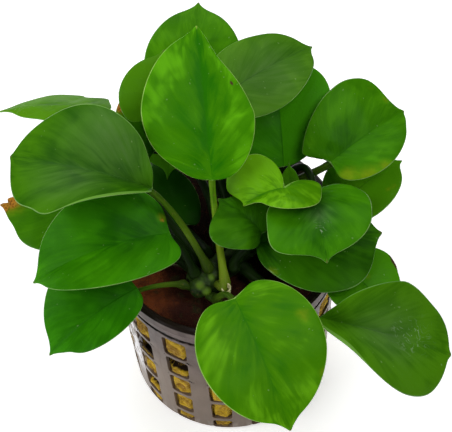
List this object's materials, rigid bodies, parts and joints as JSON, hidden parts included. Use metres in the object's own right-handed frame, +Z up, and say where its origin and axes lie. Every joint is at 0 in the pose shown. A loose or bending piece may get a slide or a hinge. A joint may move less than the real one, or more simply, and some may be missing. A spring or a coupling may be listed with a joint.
{
  "type": "potted anubias plant",
  "caption": "Small round-leaved anubias water plant rooted in rock wool, growing in a slotted black plastic net pot that stands on its flat foot.",
  "frame": {"origin": "centre of the underside of the pot's flat foot", "axes": "+Z up along the pot's axis, -Y towards the front of the plant as pictured, +X to the plant's right in the picture"},
  "size_m": [0.1012, 0.0952, 0.0983],
  "materials": {
    "pot": "satin",
    "wool": "matte",
    "rhizome": "satin",
    "stalk": "satin",
    "young_leaf": "satin",
    "leaf": "satin",
    "deep_leaf": "satin",
    "dry_sheath": "matte"
  },
  "bodies": {
    "root": {"net_pot": "pot", "rock_wool_plug": "wool", "rhizome": "rhizome", "dry_sheath": "dry_sheath", "leaf_01": "young_leaf", "stalk_01": "stalk", "leaf_02": "leaf", "stalk_02": "stalk", "leaf_03": "leaf", "stalk_03": "stalk", "leaf_04": "deep_leaf", "stalk_04": "stalk", "leaf_05": "deep_leaf", "stalk_05": "stalk", "leaf_06": "leaf", "stalk_06": "stalk", "leaf_07": "leaf", "stalk_07": "stalk", "leaf_08": "leaf", "stalk_08": "stalk", "leaf_09": "leaf", "stalk_09": "stalk", "leaf_10": "deep_leaf", "stalk_10": "stalk", "leaf_11": "young_leaf", "stalk_11": "stalk", "leaf_12": "deep_leaf", "stalk_12": "stalk", "leaf_13": "leaf", "stalk_13": "stalk", "leaf_14": "deep_leaf", "stalk_14": "stalk", "leaf_15": "leaf", "stalk_15": "stalk", "leaf_16": "young_leaf", "stalk_16": "stalk", "leaf_17": "deep_leaf", "stalk_17": "stalk", "leaf_18": "leaf", "stalk_18": "stalk", "leaf_19": "leaf", "stalk_19": "stalk", "leaf_20": "leaf", "stalk_20": "stalk", "leaf_21": "deep_leaf", "stalk_21": "stalk", "leaf_22": "deep_leaf", "stalk_22": "stalk", "leaf_23": "deep_leaf", "stalk_23": "stalk"}
  },
  "joints": []
}
